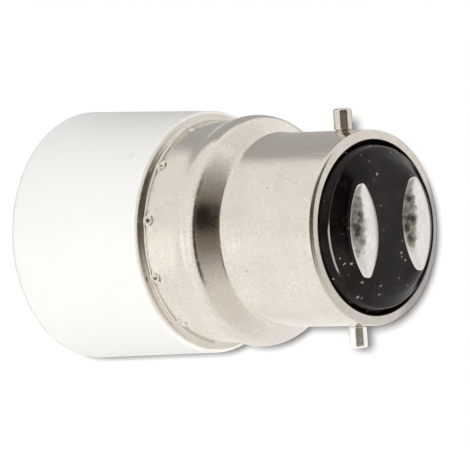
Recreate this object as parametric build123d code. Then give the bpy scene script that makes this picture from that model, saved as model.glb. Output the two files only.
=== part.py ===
from build123d import *
import os
from math import asin, atan2, cos, degrees, radians, sin, sqrt, tan

# Lamp socket adapter: a two-contact bayonet cap on a small screw lampholder.
# Millimetres. The origin is the centre of the mouth face, which it stands on, and +Z runs along
# the lamp axis to the two contacts. The bayonet pins lie along X and the contacts along Y.

# White moulded body
body_length = 18.85
mouth_edge_radius = 0.8
body_draft = 0.45
seam_step = 0.36
seam_edge_radius = 0.15
entry_depth = 3.0
entry_step = 1.6
entry_edge_radius = 0.5
floor_thickness = 2.6
recess_depth = 0.8
recess_wall = 2.3
boss_height = 1.2

# Drawn metal cap
sheet = 0.35
barrel_radius = 11.0
cap_height = 24.05
lip_radius = 9.7
corner_inner_radius = 0.08
lip_slope = 16.0
shoulder_step = 1.7
skirt_height = 6.95
bulge_rise = 0.45
crest_radius = 2.0
blend_radius = 6.0
cone_angle = 35.0
foot_radius = 0.8
flare_radius = 0.5
rim_overhang = 0.75

# Crimps that hold the cap on the body
crimp_count = 12
crimp_height = 1.45
crimp_ball_radius = 0.45
crimp_depth = 0.3
crimp_phase = -100.6

# Bayonet pins
pin_radius = 1.05
pin_root_radius = 0.85
pin_root_rise = 0.2
pin_reach = 2.5
pin_to_lip = 3.6
pin_tip_radius = 0.3
pin_head_radius = 1.6
pin_head_thickness = 0.5

# Black insulator
insulator_rise = 2.26
ring_edge_rise = 0.97
ring_edge_inset = 0.6
ring_edge_radius = 0.6
flat_margin = 0.2
flat_edge_radius = 3.0
insulator_depth = 4.3

# Contacts of the cap
contact_spacing = 9.08
contact_half_width = 2.39
contact_side_radius = 8.5
contact_tip_radius = 1.1
plate_thickness = 0.5
solder_margin = 0.08
solder_rise = 0.65
solder_edge = 0.12

# Screw shell with its rolled thread
thread_pitch = 2.822
thread_minor_radius = 6.185
thread_depth = 0.8
thread_land = 0.56
shell_sheet = 0.3
shell_setback = 0.4

# Centre contact, a leaf bent back on itself
leaf_thickness = 0.3
leaf_width = 3.2
leaf_bend_radius = 0.55
leaf_bend_offset = 2.4
leaf_foot_length = 4.4
tongue_length = 5.0
tongue_angle = 10.0

# Rivets
rivet_radius = 0.75
rivet_head_radius = 1.2
rivet_head_height = 0.45
rivet_margin = 0.15

# Wiring tags, leads and their sleeves
tag_thickness = 0.4
tag_width = 2.6
tag_reach = 5.6
tag_barrel_height = 2.0
lead_radius = 0.4
lead_bend_radius = 2.0
lead_rise = 4.5
lead_drop = 3.0
lead_stub = 0.3
sleeve_wall = 0.4

# Clearances
spigot_clearance = 0.05
groove_clearance = 0.08
pin_clearance = 0.02
insulator_clearance = 0.05
plate_clearance = 0.03
shell_clearance = 0.1
rivet_clearance = 0.03
lead_clearance = 0.03
seat_clearance = 0.05
boss_clearance = 0.3

# Heights worked out from the sizes above
lip_z = body_length + cap_height
crest_z = body_length + skirt_height
spigot_top = crest_z
floor_top = spigot_top - recess_depth
floor_bottom = floor_top - floor_thickness
boss_bottom = floor_bottom - boss_height
shell_mouth = entry_depth + shell_setback
pin_z = lip_z - pin_to_lip
lip_lean = radians(lip_slope)
flange_top = lip_z - sheet / cos(lip_lean) - insulator_clearance
flange_bottom = pin_z + pin_head_radius + seat_clearance
neck_bottom = lip_z - insulator_depth
contact_z = lip_z + insulator_rise
lead_top = contact_z + lead_stub
lead_foot = floor_top + tag_thickness + lead_clearance
bend_z = boss_bottom - leaf_thickness - leaf_bend_radius

# Radii worked out from the sizes above
skirt_radius = barrel_radius + shoulder_step
rim_radius = skirt_radius + rim_overhang
seam_radius = rim_radius + seam_step
mouth_radius = seam_radius + body_draft
spigot_radius = skirt_radius - sheet - spigot_clearance
barrel_bore = barrel_radius - sheet
thread_major_radius = thread_minor_radius + thread_depth
bore_radius = thread_major_radius + shell_sheet + shell_clearance
entry_radius = bore_radius + entry_step
recess_radius = spigot_radius - recess_wall
flange_radius = barrel_bore - insulator_clearance
throat_radius = lip_radius - insulator_clearance
flange_edge_z = flange_top - (flange_radius - throat_radius) * tan(lip_lean)
ring_edge_at = throat_radius - ring_edge_inset
pin_head_seat = barrel_bore - pin_clearance
neck_radius = barrel_bore - pin_head_thickness - pin_clearance - seat_clearance
contact_offset = contact_spacing / 2
flat_radius = contact_offset + contact_half_width + flat_margin
side_centre_offset = contact_side_radius - contact_half_width
rivet_hole_radius = rivet_radius + rivet_clearance
shell_rivet_offset = thread_minor_radius - rivet_margin - rivet_head_radius
flange_hole_radius = shell_rivet_offset - rivet_head_radius - rivet_margin
boss_radius = flange_hole_radius - boss_clearance
lead_hole_radius = lead_radius + lead_clearance
crimp_ball_at = skirt_radius - crimp_depth + crimp_ball_radius

# Plan places of the tags and of the leads that stand in them
live_rivet_at = (0, 0)
neutral_rivet_at = (-shell_rivet_offset, 0)
live_tag_end = (live_rivet_at[0], live_rivet_at[1] + tag_reach)
neutral_tag_end = (neutral_rivet_at[0], neutral_rivet_at[1] - tag_reach)


def turned(outline):
    """Solid of revolution about the lamp axis from the closed outline of its half section."""
    return revolve(Plane.XZ * make_face(outline), Axis.Z)


def upright(radius, low, high, at=(0, 0)):
    """Plain cylinder along the lamp axis between two heights."""
    return Pos(at[0], at[1], low) * extrude(Circle(radius), high - low)


def fillet_limit(wanted, turn, *runs):
    """A fillet radius for a corner of a given turn that uses at most half of the shorter run beside it."""
    return min(wanted, 0.5 * min(runs) / tan(radians(turn) / 2))


def socket_body():
    """Moulded body: drafted grip, spigot with the crimp groove, stepped bore and floor with its boss."""
    reach = crimp_ball_radius + sheet
    half_width = sqrt(reach**2 - (crimp_ball_at - spigot_radius) ** 2) + groove_clearance
    groove_z = body_length + crimp_height
    groove_radius = crimp_ball_at - reach - groove_clearance
    corners = [
        ((entry_radius, 0), entry_edge_radius),
        ((mouth_radius, 0), mouth_edge_radius),
        ((seam_radius, body_length), seam_edge_radius),
        ((spigot_radius, body_length), 0),
        ((spigot_radius, groove_z - half_width), 0),
        ((groove_radius, groove_z - half_width), 0),
        ((groove_radius, groove_z + half_width), 0),
        ((spigot_radius, groove_z + half_width), 0),
        ((spigot_radius, spigot_top), seam_edge_radius),
        ((recess_radius, spigot_top), 0),
        ((recess_radius, floor_top), 0),
        ((0, floor_top), 0),
        ((0, boss_bottom), 0),
        ((boss_radius, boss_bottom), 0),
        ((boss_radius, floor_bottom), 0),
        ((bore_radius, floor_bottom), 0),
        ((bore_radius, entry_depth), 0),
        ((entry_radius, entry_depth), 0),
    ]
    points = [point for point, _ in corners]
    radii = [radius for _, radius in corners]
    body = turned(FilletPolyline(*points, radius=radii, close=True))
    for at in (live_rivet_at, neutral_rivet_at, (shell_rivet_offset, 0)):
        body -= upright(rivet_hole_radius, 0, spigot_top, at)
    return body


def cap_line(depth):
    """Arcs of the cap's section at a depth below its outer skin, in order from the rim to the lip."""
    flare_centre = (skirt_radius + flare_radius, body_length + sheet + flare_radius)
    lean = blend_radius + crest_radius - bulge_rise
    climb = sqrt((blend_radius + crest_radius) ** 2 - lean**2)
    swell = degrees(atan2(climb, lean))
    blend_centre = (skirt_radius + blend_radius, crest_z - climb)
    crest_centre = (skirt_radius + bulge_rise - crest_radius, crest_z)
    slope = radians(cone_angle)
    foot_at = barrel_radius + foot_radius
    fall = (foot_radius + crest_radius - (foot_at - crest_centre[0]) * cos(slope)) / sin(slope)
    foot_centre = (foot_at, crest_z + fall)
    corner_radius = corner_inner_radius + sheet
    corner_at = barrel_radius - corner_radius
    lip_run = corner_at + corner_radius * sin(lip_lean) - lip_radius
    corner_z = lip_z - lip_run * tan(lip_lean) - corner_radius * cos(lip_lean)
    return [
        CenterArc(flare_centre, flare_radius + depth, 270, -90),
        CenterArc(blend_centre, blend_radius + depth, 180, -swell),
        CenterArc(crest_centre, crest_radius - depth, -swell, swell + cone_angle),
        CenterArc(foot_centre, foot_radius + depth, 180 + cone_angle, -cone_angle),
        CenterArc((corner_at, corner_z), corner_radius - depth, 0, 90 - lip_slope),
    ]


def cap_section():
    """Closed outline of the drawn sheet: outer skin, lip end, inner skin and rim end."""
    edges = []
    ends = []
    for depth in (0, sheet):
        arcs = cap_line(depth)
        rim = (rim_radius, body_length + sheet - depth)
        lip = (lip_radius, lip_z - depth / cos(lip_lean))
        edges += [Line(rim, arcs[0] @ 0), Line(arcs[-1] @ 1, lip)]
        edges += arcs
        edges += [
            Line(before @ 1, after @ 0)
            for before, after in zip(arcs, arcs[1:])
            if (before @ 1 - after @ 0).length > sheet / 1000
        ]
        ends.append((rim, lip))
    edges += [Line(outer, inner) for outer, inner in zip(*ends)]
    return edges


def cap_shell():
    """Drawn cap with a ring of crimp dents in its skirt and two pin holes in its barrel."""
    cap = turned(cap_section())
    ring = Pos(0, 0, body_length + crimp_height) * PolarLocations(crimp_ball_at, crimp_count, crimp_phase)
    inside = upright(skirt_radius - sheet / 2, body_length, crest_z)
    bumps = [inside & (place * Sphere(crimp_ball_radius + sheet)) for place in ring]
    dents = [place * Sphere(crimp_ball_radius) for place in ring]
    pin_holes = Pos(0, 0, pin_z) * Rot(0, 90, 0) * Cylinder(
        pin_root_radius + pin_clearance, 4 * barrel_radius
    )
    return cap + bumps - dents - pin_holes


def bayonet_pin(side):
    """Pin with a rounded tip and a tapered root, held by a head that fits the inside of the barrel."""
    tip = barrel_radius + pin_reach
    head_face = pin_head_seat - pin_head_thickness
    outline = FilletPolyline(
        (head_face, 0),
        (head_face, pin_root_radius),
        (barrel_radius, pin_root_radius),
        (barrel_radius + pin_root_rise, pin_radius),
        (tip, pin_radius),
        (tip, 0),
        radius=[0, 0, 0, 0, pin_tip_radius, 0],
        close=True,
    )
    pin = revolve(make_face(outline), Axis.X)
    head = Pos(head_face, 0, 0) * Rot(0, 90, 0) * extrude(Circle(pin_head_radius), sheet + pin_head_thickness)
    pin += head & upright(pin_head_seat, -barrel_radius, barrel_radius)
    return Pos(0, 0, pin_z) * Rot(0, 0, 90 - 90 * side) * pin


def contact_lens(side, margin):
    """Plan of one contact, grown by a margin: the overlap of two equal circles, with rounded tips."""
    middle = side * contact_offset
    near, far = (
        Pos(0, middle + way * side_centre_offset) * Circle(contact_side_radius + margin) for way in (1, -1)
    )
    lens = near & far
    return fillet(lens.vertices(), contact_tip_radius + margin)


def insulator():
    """Moulded insulator: flange under the lip, rounded ring edge and sloped crown with contact seats."""
    crown_drop = insulator_rise - ring_edge_rise
    slope_run = sqrt((ring_edge_at - flat_radius) ** 2 + crown_drop**2)
    slope = degrees(asin(crown_drop / slope_run))
    flat_round = fillet_limit(flat_edge_radius, slope, slope_run)
    ring_round = fillet_limit(ring_edge_radius, 90 - slope, slope_run, ring_edge_rise)
    corners = [
        ((0, contact_z), 0),
        ((flat_radius, contact_z), flat_round),
        ((ring_edge_at, lip_z + ring_edge_rise), ring_round),
        ((throat_radius, flange_top), 0),
        ((flange_radius, flange_edge_z), corner_inner_radius),
        ((flange_radius, flange_bottom), 0),
        ((neck_radius, flange_bottom), 0),
        ((neck_radius, neck_bottom), 0),
        ((0, neck_bottom), 0),
    ]
    points = [point for point, _ in corners]
    radii = [radius for _, radius in corners]
    solid = turned(FilletPolyline(*points, radius=radii, close=True))
    for side in (1, -1):
        seat = contact_lens(side, plate_clearance)
        solid -= Pos(0, 0, contact_z - plate_thickness) * extrude(seat, insulator_rise)
        solid -= upright(lead_hole_radius, neck_bottom, contact_z, (0, side * contact_offset))
    return solid


def contact_plate(side):
    """Flat contact plate, flush in its seat, with a hole for the lead."""
    plate = Pos(0, 0, contact_z - plate_thickness) * extrude(contact_lens(side, 0), plate_thickness)
    return plate - upright(lead_hole_radius, neck_bottom, contact_z, (0, side * contact_offset))


def contact_solder(side):
    """Solder mound: a barrel-shaped crown, cut to the contact's outline and let over the lead's end."""
    half_width = contact_half_width - solder_margin
    half_length = sqrt((contact_side_radius - solder_margin) ** 2 - side_centre_offset**2)
    crown = solder_rise - solder_edge
    girth = (half_width**2 + crown**2) / (2 * crown)
    arch = ThreePointArc((-half_length, girth - crown), (0, girth), (half_length, girth - crown))
    foot = Polyline(arch @ 0, (-half_length, 0), (half_length, 0), arch @ 1)
    spindle = revolve(make_face(arch + foot), Axis.X)
    spindle = Pos(0, side * contact_offset, contact_z + solder_rise - girth) * spindle
    mound = Pos(0, 0, contact_z) * extrude(contact_lens(side, -solder_margin), solder_rise)
    over_lead = upright(lead_hole_radius, contact_z, lead_top + lead_clearance, (0, side * contact_offset))
    return (mound & spindle) - over_lead


def thread_core(depth, low, high):
    """Cylinder with a round helical ridge, at a depth below the outer skin, cut flat at two heights."""
    half_ridge = (thread_pitch - thread_land) / 2
    outer_round = (half_ridge**2 + thread_depth**2) / (2 * thread_depth)
    ridge_at = thread_major_radius + shell_sheet - outer_round
    start = shell_mouth - thread_pitch
    helix = Pos(0, 0, start) * Helix(thread_pitch, floor_bottom + thread_pitch - start, ridge_at)
    section = Plane(origin=helix @ 0, z_dir=helix % 0) * Circle(outer_round - depth)
    ridge = sweep(section, path=helix, is_frenet=True)
    core_radius = thread_minor_radius + shell_sheet - depth
    core = upright(core_radius, start - thread_pitch, floor_bottom + 2 * thread_pitch) + ridge
    slab = upright(2 * thread_major_radius, low, high)
    return core & slab


def screw_shell():
    """Sheet screw shell: rolled thread inside and out, closed by a flange round the floor's boss."""
    outer = thread_core(0, shell_mouth, floor_bottom)
    inner = thread_core(shell_sheet, shell_mouth - thread_pitch, floor_bottom - shell_sheet)
    shell = outer - inner - upright(flange_hole_radius, shell_mouth, floor_bottom)
    for side in (1, -1):
        shell -= upright(rivet_hole_radius, shell_mouth, floor_bottom, (side * shell_rivet_offset, 0))
    return shell


def leaf_line(depth):
    """Line of the leaf's section at a depth below its upper, outer face: foot, bend and tongue."""
    bend_centre = (leaf_bend_offset, bend_z)
    radius = leaf_bend_radius + leaf_thickness - depth
    bend = CenterArc(bend_centre, radius, 90, tongue_angle - 180)
    foot = Line((leaf_bend_offset - leaf_foot_length, bend_z + radius), bend @ 0)
    tongue = Line(bend @ 1, bend @ 1 + (bend % 1) * tongue_length)
    return [foot, bend, tongue]


def centre_contact():
    """Springy leaf contact: foot under the boss, bend beside it and tongue across the lamp axis."""
    outer = leaf_line(0)
    inner = leaf_line(leaf_thickness)
    ends = [Line(outer[0] @ 0, inner[0] @ 0), Line(outer[-1] @ 1, inner[-1] @ 1)]
    section = Plane.XZ * make_face(outer + inner + ends)
    leaf = extrude(section, leaf_width / 2, both=True)
    return leaf - upright(rivet_hole_radius, bend_z, boss_bottom, live_rivet_at)


def rivet(low, high, at):
    """Rivet with a domed head at each end of its grip."""
    dome = (rivet_head_radius**2 + rivet_head_height**2) / (2 * rivet_head_height)
    opening = degrees(asin(rivet_head_radius / dome))
    head = CenterArc((0, high + rivet_head_height - dome), dome, 90, -opening)
    foot = CenterArc((0, low - rivet_head_height + dome), dome, opening - 90, -opening)
    grip = Polyline(head @ 1, (rivet_radius, high), (rivet_radius, low), foot @ 0)
    return Pos(at[0], at[1], 0) * turned([head, grip, foot, Line(foot @ 1, head @ 0)])


def tag(rivet_at, end):
    """Flat tag from a rivet to an upright barrel that grips the end of a lead."""
    side = 1 if end[1] > rivet_at[1] else -1
    strip = SlotCenterToCenter(tag_reach, tag_width, rotation=90)
    strip = Pos(rivet_at[0], rivet_at[1] + side * tag_reach / 2, floor_top) * extrude(strip, tag_thickness)
    barrel_top = floor_top + tag_thickness + tag_barrel_height
    barrel = upright(lead_hole_radius + tag_thickness, floor_top, barrel_top, end)
    lead_hole = upright(lead_hole_radius, floor_top + tag_thickness, barrel_top, end)
    rivet_hole = upright(rivet_hole_radius, floor_top, barrel_top, rivet_at)
    return strip + barrel - lead_hole - rivet_hole


def lead_path(end, side, low, high):
    """Lead's line: up from its tag, across to its contact and straight up through the insulator."""
    return FilletPolyline(
        (end[0], end[1], low),
        (end[0], end[1], lead_foot + lead_rise),
        (0, side * contact_offset, neck_bottom - lead_drop),
        (0, side * contact_offset, high),
        radius=lead_bend_radius,
    )


def lead(end, side):
    """Round tinned lead from its tag to its contact."""
    path = lead_path(end, side, lead_foot, lead_top)
    return sweep(Pos(end[0], end[1], lead_foot) * Circle(lead_radius), path=path)


def sleeve(end, side):
    """Insulating sleeve on the part of a lead between its tag and the insulator."""
    low = floor_top + tag_thickness + tag_barrel_height + seat_clearance
    path = lead_path(end, side, low, neck_bottom - seat_clearance)
    outside = Circle(lead_hole_radius + sleeve_wall)
    wall = outside - Circle(lead_hole_radius)
    return sweep(Pos(end[0], end[1], low) * wall, path=path)


live_grip = (boss_bottom - leaf_thickness, floor_top + tag_thickness)
shell_grip = (floor_bottom - shell_sheet, floor_top)
neutral_grip = (floor_bottom - shell_sheet, floor_top + tag_thickness)

nodes = {
    "socket_body": socket_body(),
    "cap_shell": cap_shell(),
    "bayonet_pin_right": bayonet_pin(1),
    "bayonet_pin_left": bayonet_pin(-1),
    "insulator": insulator(),
    "live_contact_plate": contact_plate(1),
    "neutral_contact_plate": contact_plate(-1),
    "live_contact_solder": contact_solder(1),
    "neutral_contact_solder": contact_solder(-1),
    "screw_shell": screw_shell(),
    "centre_contact": centre_contact(),
    "centre_rivet": rivet(*live_grip, live_rivet_at),
    "shell_rivet": rivet(*shell_grip, (shell_rivet_offset, 0)),
    "neutral_rivet": rivet(*neutral_grip, neutral_rivet_at),
    "live_tag": tag(live_rivet_at, live_tag_end),
    "neutral_tag": tag(neutral_rivet_at, neutral_tag_end),
    "live_lead": lead(live_tag_end, 1),
    "neutral_lead": lead(neutral_tag_end, -1),
    "live_sleeve": sleeve(live_tag_end, 1),
    "neutral_sleeve": sleeve(neutral_tag_end, -1),
}

os.makedirs("parts", exist_ok=True)
for name, solid in nodes.items():
    export_step(solid, f"parts/{name}.step")
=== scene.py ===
import math

import bmesh
import bpy
import numpy as np
from mathutils import Matrix, Vector


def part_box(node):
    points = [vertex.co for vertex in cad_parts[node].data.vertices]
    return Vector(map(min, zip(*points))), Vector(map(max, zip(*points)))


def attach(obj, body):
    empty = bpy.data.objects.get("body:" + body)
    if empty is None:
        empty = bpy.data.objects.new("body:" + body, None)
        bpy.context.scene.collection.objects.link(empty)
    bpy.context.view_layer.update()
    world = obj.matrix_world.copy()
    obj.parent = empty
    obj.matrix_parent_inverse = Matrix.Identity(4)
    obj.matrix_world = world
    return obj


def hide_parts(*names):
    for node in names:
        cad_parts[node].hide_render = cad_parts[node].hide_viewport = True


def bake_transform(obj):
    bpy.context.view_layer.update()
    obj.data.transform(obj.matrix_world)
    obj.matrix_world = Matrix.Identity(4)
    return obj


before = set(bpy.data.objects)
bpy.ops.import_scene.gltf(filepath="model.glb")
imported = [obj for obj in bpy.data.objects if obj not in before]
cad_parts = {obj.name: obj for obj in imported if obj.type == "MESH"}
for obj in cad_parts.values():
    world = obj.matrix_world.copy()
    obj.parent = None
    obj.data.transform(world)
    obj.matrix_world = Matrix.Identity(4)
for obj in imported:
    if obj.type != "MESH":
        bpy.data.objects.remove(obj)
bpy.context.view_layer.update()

MM = 0.001
HULL = "adapter"


def corner_mm(node, end):
    """Lowest (0) or highest (1) corner of a solid, in millimetres."""
    return np.array(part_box(node)[end]) / MM


# Sizes read from the solids
MOUTH_RADIUS = corner_mm("socket_body", 1)[0]
SPIGOT_TOP = corner_mm("socket_body", 1)[2]
SEAM_Z = corner_mm("cap_shell", 0)[2]
RIM_RADIUS = corner_mm("cap_shell", 1)[0]
LIP_Z = corner_mm("cap_shell", 1)[2]
PIN_LOW = corner_mm("bayonet_pin_right", 0)
PIN_HIGH = corner_mm("bayonet_pin_right", 1)
PIN_Z = (PIN_LOW[2] + PIN_HIGH[2]) / 2
FLANGE_RADIUS = corner_mm("insulator", 1)[0]
CROWN_Z = corner_mm("insulator", 1)[2]
NECK_BOTTOM = corner_mm("insulator", 0)[2]
SHELL_MOUTH = corner_mm("screw_shell", 0)[2]
SHELL_FLOOR = corner_mm("screw_shell", 1)[2]
SOLDER_TOP = corner_mm("live_contact_solder", 1)[2]
LEAF_TOP = corner_mm("centre_contact", 1)[2]
LEAF_HALF_WIDTH = corner_mm("centre_contact", 1)[1]

# Sizes of the white body, in millimetres
SEAM_RADIUS = RIM_RADIUS + 0.36
SPIGOT_RADIUS = 12.3
SPIGOT_ROUND = 0.15
MOUTH_ROUND = 0.8
SEAM_ROUND = 0.18
ENTRY_RADIUS = 8.985
ENTRY_DEPTH = 3.0
ENTRY_ROUND = 0.5
ENTRY_STEP_ROUND = 0.15
BORE_RADIUS = 7.385
BORE_ROUND = 0.2
RECESS_RADIUS = 10.0
FLOOR_TOP = SPIGOT_TOP - 0.8
BOSS_RADIUS = 3.185
BOSS_BOTTOM = SHELL_FLOOR - 1.2
BOSS_ROUND = 0.2

# Sizes of the drawn cap, in millimetres
SHEET = 0.35
BARREL_RADIUS = 11.0
SKIRT_RADIUS = 12.7
LIP_RADIUS = 9.84
LIP_TOP = LIP_Z + 0.15
LIP_CORNER = 0.42
LIP_SLOPE = 16.0
LIP_DOME = 4.0
CREST_Z = SEAM_Z + 6.95
BULGE = 0.45
CREST_ROUND = 2.8
BLEND_ROUND = 6.0
CONE_ANGLE = 38.0
FOOT_ROUND = 0.8
FLARE_ROUND = 0.5
CRIMPS = 12
CRIMP_Z = SEAM_Z + 1.45
CRIMP_PHASE = -100.6
CRIMP_REACH = 0.62
CRIMP_DEPTH = 0.3
CRIMP_BURR = 0.05
CRIMP_BURR_AT = 1.15 * CRIMP_REACH
CRIMP_BURR_WIDTH = 0.16
CRIMPED_TOP = SEAM_Z + 2.6
CRIMPED_RADIUS = SKIRT_RADIUS + 0.3

# Sizes of the pins, the insulator and the contacts, in millimetres
PIN_RADIUS = 1.05
PIN_ROOT_RADIUS = 0.85
PIN_ROOT_RISE = 0.2
PIN_ROOT_ROUND = 0.05
PIN_TIP_ROUND = 0.3
PIN_HEAD_RADIUS = 1.6
PIN_HEAD_THICKNESS = 0.4
PIN_HEAD_ROUND = 0.1
THROAT_RADIUS = 9.65
RING_EDGE_RADIUS = 9.05
RING_EDGE_Z = LIP_Z + 0.97
RING_EDGE_ROUND = 0.6
FLAT_RADIUS = 7.13
FLAT_ROUND = 3.0
FLANGE_EDGE_Z = LIP_Z - 0.69
FLANGE_BOTTOM = LIP_Z - 1.8
NECK_RADIUS = 10.08
NECK_ROUND = 0.2
CONTACT_OFFSET = 4.54
CONTACT_HALF_WIDTH = 2.39
CONTACT_SIDE_RADIUS = 8.5
CONTACT_TIP_RADIUS = 1.1
PLATE_PROUD = 0.02
PLATE_DEPTH = 0.5
PLATE_INSET = 0.1
SOLDER_EDGE = 0.02
SOLDER_SUNK = 0.05
SOLDER_FALL = 0.75
RIPPLE_DEPTH = 0.006

# Sizes of the screw shell, the leaf and the rivets, in millimetres
THREAD_PITCH = 2.822
THREAD_MINOR = 6.185
THREAD_DEPTH = 0.8
THREAD_POWER = 0.8
THREAD_FADE_AT_MOUTH = 0.9
THREAD_FADE_AT_FLOOR = 1.4
SHELL_SHEET = 0.3
SHELL_HOLE = 3.485
SHELL_BEND = 0.5
LEAF_THICKNESS = 0.3
LEAF_BEND = 0.55
LEAF_BEND_AT = 2.4
LEAF_FOOT = 4.4
LEAF_TIP_ROUND = 0.9
LEAF_SIDE_POWER = 0.18
LEAF_FACE_POWER = 0.45
TONGUE_LENGTH = 5.0
TONGUE_ANGLE = 10.0
PRESS_DEPTH = 0.22
PRESS_SPREAD = 0.55
RIVET_RADIUS = 0.75
RIVET_HEAD = 1.2
RIVET_RISE = 0.45

# Limits of the meshes: angle of a sharp edge in degrees, and lengths in metres
CREASE = 32.0
MERGED_WITHIN = 2e-7
SLIVER = 1e-8

# Colours of the finishes
BODY_WHITE = (0.863, 0.862, 0.843)
BODY_CREAM = (0.876, 0.874, 0.857)
RIM_GRIME = (0.62, 0.59, 0.54)
BODY_DUST = (0.6, 0.58, 0.55)
CAP_PALE = (0.842, 0.797, 0.743)
CAP_DEEP = (0.752, 0.704, 0.64)
PIN_PALE = (0.81, 0.772, 0.725)
PIN_DEEP = (0.7, 0.66, 0.605)
# Paler tone painted on the pin on the +X side, as painted light
PIN_PAINTED_LIGHT = (0.96, 0.94, 0.91)
PLATE_WARM = (0.84, 0.75, 0.6)
PLATE_PITS = (0.28, 0.24, 0.2)
# Painted shade: darker grey laid on the far side of the cap's lip, standing in for shade and a darker
# reflection
LIP_PAINTED_SHADE = (0.36, 0.355, 0.35)
MOULD_BLACK = (0.0009, 0.0008, 0.0008)
MOULD_BROWN = (0.0026, 0.0019, 0.0017)
MOULD_SMUDGE = (0.02, 0.014, 0.011)
MOULD_DUST = (0.25, 0.238, 0.225)
MOULD_SHEEN = (1.0, 0.92, 0.87, 1.0)
SOLDER_PALE = (0.86, 0.845, 0.82)
SOLDER_DEEP = (0.77, 0.755, 0.73)
SOLDER_DULL = (0.5, 0.48, 0.45)
BURNT_BROWN = (0.17, 0.148, 0.105)
BURNT_BLACK = (0.035, 0.028, 0.02)
BURNT_PITS = (0.02, 0.017, 0.014)
WEAVE_DEEP = (0.62, 0.57, 0.44)
WEAVE_PALE = (0.8, 0.76, 0.64)
WEAVE_STAIN = (0.55, 0.48, 0.36)


def arc(centre, radius, start, sweep, steps):
    """Points of a circular arc about centre, from the start angle through the sweep, in degrees."""
    angle = np.radians(np.linspace(start, start + sweep, steps))
    return np.stack([centre[0] + radius * np.cos(angle), centre[1] + radius * np.sin(angle)], axis=-1)


def rounded_line(corners, steps=9):
    """Open line through (x, y, radius) corners: each inner corner becomes an arc that touches both runs."""
    spots = np.array(corners, float)
    pieces = [spots[:1, :2]]
    for before, here, after in zip(spots, spots[1:], spots[2:]):
        if here[2] == 0:
            pieces.append(here[None, :2])
            continue
        back = before[:2] - here[:2]
        ahead = after[:2] - here[:2]
        back /= np.linalg.norm(back)
        ahead /= np.linalg.norm(ahead)
        half = math.acos(np.clip(back @ ahead, -1, 1)) / 2
        bisector = (back + ahead) / np.linalg.norm(back + ahead)
        centre = here[:2] + bisector * here[2] / math.sin(half)
        first = here[:2] + back * here[2] / math.tan(half) - centre
        last = here[:2] + ahead * here[2] / math.tan(half) - centre
        spread = math.pi - 2 * half
        part = np.linspace(0, 1, steps)[:, None]
        turned = np.sin((1 - part) * spread) * first + np.sin(part * spread) * last
        pieces.append(centre + turned / math.sin(spread))
    pieces.append(spots[-1:, :2])
    return np.concatenate(pieces)


def refined(line, spacing):
    """The same line with extra points along its long runs, evenly spaced by distance along the line."""
    along = np.concatenate([[0], np.cumsum(np.linalg.norm(np.diff(line, axis=0), axis=1))])
    extra = np.arange(spacing, along[-1], spacing)
    clear = np.abs(extra[:, None] - along[None, :]).min(axis=1) > spacing / 3
    place = np.unique(np.concatenate([along, extra[clear]]))
    return np.stack([np.interp(place, along, line[:, 0]), np.interp(place, along, line[:, 1])], axis=-1)


def turns(count):
    """Evenly spaced angles of a full turn."""
    return np.linspace(0, 2 * math.pi, count, endpoint=False)


def revolved(line, angle):
    """Line of (radius, height) points carried round the lamp axis: x = r cos a, y = r sin a, z = h."""
    radius, height = line[:, 0, None], line[:, 1, None]
    return np.stack([radius * np.cos(angle), radius * np.sin(angle), height + 0 * angle], axis=-1)


def surface(name, points, material, close_line=False):
    """Mesh piece over a grid of points in millimetres (line, turn, xyz), closed round the turn.

    It is also closed along the line where asked. The UV map runs 0 to 1 round the turn and along the
    line. Points that fall together are merged, which closes the poles, and the faces are turned outwards."""
    rows, cols = points.shape[:2]
    row, col = np.meshgrid(np.arange(rows if close_line else rows - 1), np.arange(cols), indexing="ij")
    next_row, next_col = (row + 1) % rows, (col + 1) % cols
    faces = np.stack(
        [row * cols + col, row * cols + next_col, next_row * cols + next_col, next_row * cols + col], axis=-1
    ).reshape(-1)
    across = np.stack([col, col + 1, col + 1, col], axis=-1) / cols
    up = np.stack([row, row, row + 1, row + 1], axis=-1) / rows
    mesh = bpy.data.meshes.new(name)
    mesh.vertices.add(rows * cols)
    mesh.vertices.foreach_set("co", (points * MM).astype(np.float32).ravel())
    mesh.loops.add(faces.size)
    mesh.loops.foreach_set("vertex_index", faces.astype(np.int32))
    mesh.polygons.add(faces.size // 4)
    mesh.polygons.foreach_set("loop_start", np.arange(0, faces.size, 4, dtype=np.int32))
    mesh.polygons.foreach_set("loop_total", np.full(faces.size // 4, 4, dtype=np.int32))
    mesh.update(calc_edges=True)
    layer = mesh.uv_layers.new(name="UVMap")
    layer.data.foreach_set("uv", np.stack([across, up], axis=-1).astype(np.float32).ravel())
    shape = bmesh.new()
    shape.from_mesh(mesh)
    bmesh.ops.remove_doubles(shape, verts=shape.verts, dist=MERGED_WITHIN)
    bmesh.ops.dissolve_degenerate(shape, edges=shape.edges, dist=SLIVER)
    bmesh.ops.recalc_face_normals(shape, faces=shape.faces)
    shape.to_mesh(mesh)
    shape.free()
    mesh.shade_smooth()
    mesh.set_sharp_from_angle(angle=math.radians(CREASE))
    mesh.materials.append(material)
    piece = bpy.data.objects.new(name, mesh)
    bpy.context.scene.collection.objects.link(piece)
    return piece


def settled(piece, node):
    """Puts a piece on the adapter's body in place of the solid that it stands for."""
    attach(piece, HULL)
    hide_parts(node)
    return piece


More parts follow.
